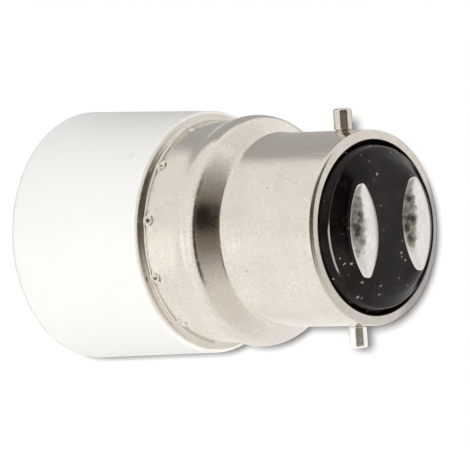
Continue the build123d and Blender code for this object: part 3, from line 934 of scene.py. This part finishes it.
# Camera: it looks at the cap from the -Y side, above the floor, with the lamp axis lying across the picture.
# The camera and its stage are turned together about the lamp axis. Lengths are in millimetres.
PICTURE = 470
PIXELS_PER_MM = 8.837
SIGHT_ANGLE = 48.4
ROLL = 1.47
AIM_HEIGHT = 29.8
AIM_PIXEL = (287.0, 229.8)
CAMERA_AWAY = 800.0
SENSOR = 36.0
CLIP_NEAR = 50.0
CLIP_FAR = 5000.0
STAGE_TURN = math.radians(-4.1)
STAGE_REACH = 2500
BACKDROP_REACH = 1500
BACKDROP_AT = 15.0
BACKDROP_LEAN = 0.25
LAMP_AIM = Vector((0, 0, 22))
LAMP_AWAY = 600.0

# Tones of the stage
ROOM_PALE = (0.97, 0.955, 0.94)
ROOM_BROWN = (0.19, 0.145, 0.105)
CEILING_DARK = (0.05, 0.045, 0.04)
FAR_WALL = (0.93, 0.915, 0.9)
GROUND_GREY = (0.5, 0.495, 0.48)
HIGH_DARK = (0.08, 0.075, 0.075)
SIDE_PALE = (0.88, 0.85, 0.81)
GAP_DARK = (0.05, 0.04, 0.03)
LENS_DARK = (0.015, 0.013, 0.013)
PLAIN_WHITE = (1.0, 1.0, 1.0)
FLOOR_TONE = (0.86, 0.86, 0.86)
BACKDROP_TONE = (0.407, 0.409, 0.413)
GREY_TONE = (0.475, 0.468, 0.465)
PALE_TONE = (1.09, 1.085, 1.08)
BRIGHT_TONE = (1.25, 1.24, 1.21)
DARK_TONE = (0.02, 0.02, 0.02)


def staged(spot):
    """Point or direction turned with the stage about the lamp axis."""
    c, s = math.cos(STAGE_TURN), math.sin(STAGE_TURN)
    return np.array((c * spot[0] - s * spot[1], s * spot[0] + c * spot[1], spot[2]))


def sight_axes():
    """Directions back to the camera, level and upright, before the stage's turn and the camera's roll."""
    sight = math.radians(SIGHT_ANGLE)
    back = np.array((0, -math.sin(sight), math.cos(sight)))
    level = np.array((0, math.cos(sight), math.sin(sight)))
    return back, level, np.array((-1, 0, 0))


def direction(azimuth, elevation):
    """Unit vector at an azimuth from the camera's towards -X and an elevation, in degrees."""
    a, e = math.radians(azimuth), math.radians(elevation)
    return staged((-math.sin(a) * math.cos(e), -math.cos(a) * math.cos(e), math.sin(e)))


def beside_camera(up, left):
    """Direction of the camera, moved up and left in its picture by a share of the distance."""
    back, level, upright = sight_axes()
    way = back + up * upright - left * level
    return staged(way / np.linalg.norm(way))


def photo_camera():
    """Long-lens camera whose aim point falls on its own pixel, moved sideways instead of shifted."""
    roll = math.radians(ROLL)
    back, level, upright = (Vector(staged(axis)) for axis in sight_axes())
    right = math.cos(roll) * level - math.sin(roll) * upright
    up = math.sin(roll) * level + math.cos(roll) * upright
    off_right = (PICTURE / 2 - AIM_PIXEL[0]) / PIXELS_PER_MM
    off_up = (AIM_PIXEL[1] - PICTURE / 2) / PIXELS_PER_MM
    aim = Vector((0, 0, AIM_HEIGHT))
    place = (aim + back * CAMERA_AWAY + right * off_right + up * off_up) * MM
    data = bpy.data.cameras.new("photo_camera")
    data.sensor_width = SENSOR
    data.lens = SENSOR * PIXELS_PER_MM * CAMERA_AWAY / PICTURE
    data.clip_start = CLIP_NEAR * MM
    data.clip_end = CLIP_FAR * MM
    camera = bpy.data.objects.new("photo_camera", data)
    turned = Matrix((right, up, back)).transposed().to_4x4()
    camera.matrix_world = Matrix.Translation(place) @ turned
    bpy.context.scene.collection.objects.link(camera)
    bpy.context.scene.camera = camera


def studio_world():
    """White room with a darker side behind the camera: soft lobes of direction on a bright level."""
    world = bpy.data.worlds.new("studio_world")
    world.use_nodes = True
    bpy.context.scene.world = world
    make = Nodes(world.node_tree)
    way = make.add("ShaderNodeTexCoord").outputs["Generated"]
    rise = make.parts(way)["Z"]

    def facing(toward):
        """How far the ray goes along a direction."""
        return make.add("ShaderNodeVectorMath", {0: way, 1: toward}, operation="DOT_PRODUCT").outputs["Value"]

    def lobe(azimuth, elevation, inner, outer):
        """Round lobe about a direction: 1 within the inner angle, 0 outside the outer one."""
        edges = math.cos(math.radians(outer)), math.cos(math.radians(inner))
        return make.ramp(facing(direction(azimuth, elevation)), *edges)

    def spread(azimuth, elevation, outer, power):
        """Wider lobe that falls from 1 at its middle to 0 at the outer angle, as a power."""
        edge = math.cos(math.radians(outer))
        limits = {"Value": facing(direction(azimuth, elevation)), "From Min": edge, "From Max": 1.0}
        return make.sums("POWER", make.add("ShaderNodeMapRange", limits).outputs["Result"], power)

    colour = make.tint(make.ramp(rise, 0.3, 0.75), ROOM_PALE, CEILING_DARK)
    far_side = make.ramp(facing(staged((0.0, 1.0, -0.36))), -0.24, -0.06)
    colour = make.tint(far_side, colour, FAR_WALL)
    colour = make.tint(make.ramp(rise, -0.12, 0.0), GROUND_GREY, colour)
    colour = make.tint(lobe(azimuth=14, elevation=60, inner=14, outer=30), colour, HIGH_DARK)
    colour = make.tint(lobe(azimuth=-70, elevation=40, inner=24, outer=48), colour, SIDE_PALE)
    room = spread(azimuth=10, elevation=33, outer=70, power=1.8)
    room = make.sums("MULTIPLY", room, make.ramp(rise, 0.08, 0.17))
    colour = make.tint(room, colour, ROOM_BROWN)
    off_level = make.sums("ABSOLUTE", make.sums("SUBTRACT", rise, 0.25))
    gap = make.ramp(off_level, 0.06, 0.14, 1.0, 0.0)
    gap = make.sums("MULTIPLY", gap, lobe(azimuth=4, elevation=14, inner=36, outer=60))
    colour = make.tint(gap, colour, GAP_DARK)
    colour = make.tint(lobe(azimuth=15, elevation=34, inner=4, outer=18), colour, LENS_DARK)
    seen = make.add("ShaderNodeLightPath").outputs["Is Camera Ray"]
    make.feed(make.tree.nodes["Background"].inputs["Color"], make.tint(seen, colour, PLAIN_WHITE))


class Paint(Nodes):
    """A stage sheet's material in the making: a mix of two shaders."""

    def __init__(self, name):
        self.material = bpy.data.materials.new(name)
        self.material.use_nodes = True
        super().__init__(self.material.node_tree)

    def done(self, share, first, second):
        """Gives the sheet the first shader, and the second one where the share is 1."""
        both = self.add("ShaderNodeMixShader", {0: share, 1: first.outputs[0], 2: second.outputs[0]})
        self.feed(self.tree.nodes["Material Output"].inputs["Surface"], both.outputs[0])
        return self.material


def stage_paint(name, colour):
    """Matt paint that keeps the object's shadow; clear from behind."""
    make = Paint(name)
    shader = make.tree.nodes["Principled BSDF"]
    shader.inputs["Base Color"].default_value = (*colour, 1.0)
    shader.inputs["Roughness"].default_value = 0.9
    shader.inputs["Specular IOR Level"].default_value = 0.0
    behind = make.add("ShaderNodeNewGeometry").outputs["Backfacing"]
    return make.done(behind, shader, make.add("ShaderNodeBsdfTransparent"))


def card_paint(name, tone, fade=None, patch=False):
    """Card that gives off one even tone for the metal to mirror, clear towards three of its edges.

    The fade is where it starts and ends in the UV map: at the low end, the high end and the last side.
    A patch is an oval that is clear all round instead."""
    make = Paint(name)
    place = make.add("ShaderNodeTexCoord").outputs["UV"]
    across, along, _ = make.parts(place)
    share = 1.0
    if fade:
        low_end, high_end, side = fade
        ends = make.sums("MULTIPLY", make.ramp(along, *low_end), make.ramp(along, *high_end, 1.0, 0.0))
        share = make.sums("MULTIPLY", ends, make.ramp(across, *side, 1.0, 0.0))
    if patch:
        away = make.add("ShaderNodeVectorMath", {0: place, 1: (0.5, 0.5, 0.0)}, operation="DISTANCE")
        share = make.ramp(away.outputs["Value"], 0.1, 0.5, 1.0, 0.0)
    glow = make.add("ShaderNodeEmission", {"Color": (*tone, 1.0)})
    return make.done(share, make.add("ShaderNodeBsdfTransparent"), glow)


def sheet_of(name, low, high, material, mirrored_only=True):
    """Flat stage sheet between two corners in millimetres, level across X; most show in mirrors only."""
    mesh = bpy.data.meshes.new(name)
    near, far = low[1:], high[1:]
    spots = [(low[0], *near), (high[0], *near), (high[0], *far), (low[0], *far)]
    mesh.from_pydata([(staged(spot) * MM).tolist() for spot in spots], [], [(0, 1, 2, 3)])
    layer = mesh.uv_layers.new(name="UVMap")
    layer.data.foreach_set("uv", [0.0, 0.0, 1.0, 0.0, 1.0, 1.0, 0.0, 1.0])
    mesh.materials.append(material)
    made = bpy.data.objects.new(name, mesh)
    bpy.context.scene.collection.objects.link(made)
    made.visible_diffuse = False
    made.visible_shadow = False
    made.visible_glossy = mirrored_only
    made.visible_camera = not mirrored_only
    made.visible_transmission = not mirrored_only
    return made


def stage_sheets():
    """Floor, backdrop and the cards that the metal mirrors; gives the backdrop, which the camera sees."""
    grey = card_paint("grey_card_paint", GREY_TONE, fade=((0.16, 0.27), (0.74, 0.93), (0.91, 0.99)))
    pale = card_paint("pale_card_paint", PALE_TONE, fade=((0.0, 0.3), (0.7, 1.0), (0.5, 1.0)))
    bright = card_paint("bright_patch_paint", BRIGHT_TONE, patch=True)
    dark = card_paint("dark_card_paint", DARK_TONE)
    ground = stage_paint("floor_paint", FLOOR_TONE)
    for name, low, high, paint in (
        ("floor", (-STAGE_REACH, -STAGE_REACH, 0), (STAGE_REACH, STAGE_REACH, 0), ground),
        ("grey_card", (-120, -30, 0.6), (-12, 75, 0.6), grey),
        ("pale_card", (95, -75, 0.6), (-4, 15, 0.6), pale),
        ("far_patch", (-22, -165, 0.8), (72, -42, 0.8), bright),
        ("near_patch", (-10, -50, 1.0), (28, -18, 1.0), bright),
        ("dark_card", (-24, 40, 20), (24, 40, 37.5), dark),
    ):
        sheet_of(name, low, high, paint)
    lean = BACKDROP_LEAN * BACKDROP_REACH
    low = (-STAGE_REACH, BACKDROP_AT - lean, -BACKDROP_REACH)
    high = (STAGE_REACH, BACKDROP_AT + lean, BACKDROP_REACH)
    return sheet_of("backdrop", low, high, stage_paint("backdrop_paint", BACKDROP_TONE), mirrored_only=False)


def lamp(name, kind, toward, energy, **settings):
    """Light from a direction on the object; a sun isn't mirrored, and an area lamp is only mirrored."""
    data = bpy.data.lights.new(name, kind)
    data.energy = energy
    for label, value in settings.items():
        setattr(data, label, value)
    made = bpy.data.objects.new(name, data)
    made.location = (LAMP_AIM + Vector(toward) * LAMP_AWAY) * MM
    made.rotation_mode = "QUATERNION"
    made.rotation_quaternion = Vector(toward).to_track_quat("Z", "Y")
    made.visible_glossy = kind != "SUN"
    made.visible_diffuse = kind == "SUN"
    bpy.context.scene.collection.objects.link(made)
    return made


def shine_only_on(piece, name, *lamps):
    """Keeps the light of some lamps to one piece."""
    lit = bpy.data.collections.new(name)
    lit.objects.link(piece)
    for made in lamps:
        made.light_linking.receiver_collection = lit


def stage_lamps(backdrop, black_piece):
    """Key and fill on the object, a sun for the backdrop alone and two strips that the black mirrors."""
    lamp("key", "SUN", beside_camera(up=0.03, left=0.03), 2.55, angle=math.radians(3.2))
    lamp("fill", "SUN", direction(azimuth=-100, elevation=20), 0.62, angle=math.radians(60))
    sun = lamp("backdrop_sun", "SUN", beside_camera(up=0.03, left=0.05), 4.6, angle=math.radians(3.4))
    shine_only_on(backdrop, "lit_by_backdrop_sun", sun)
    strip_at = direction(azimuth=-29, elevation=40)
    dim_at = direction(azimuth=26, elevation=40)
    strip = lamp("strip_lamp", "AREA", strip_at, 19.0, shape="RECTANGLE", size=0.6, size_y=0.42)
    dim_strip = lamp("dim_strip_lamp", "AREA", dim_at, 1.6, shape="RECTANGLE", size=1.0, size_y=0.3)
    shine_only_on(black_piece, "lit_by_strip", strip, dim_strip)


photo_camera()
studio_world()
stage_lamps(stage_sheets(), insulator)
bpy.context.scene.view_settings.view_transform = "Standard"
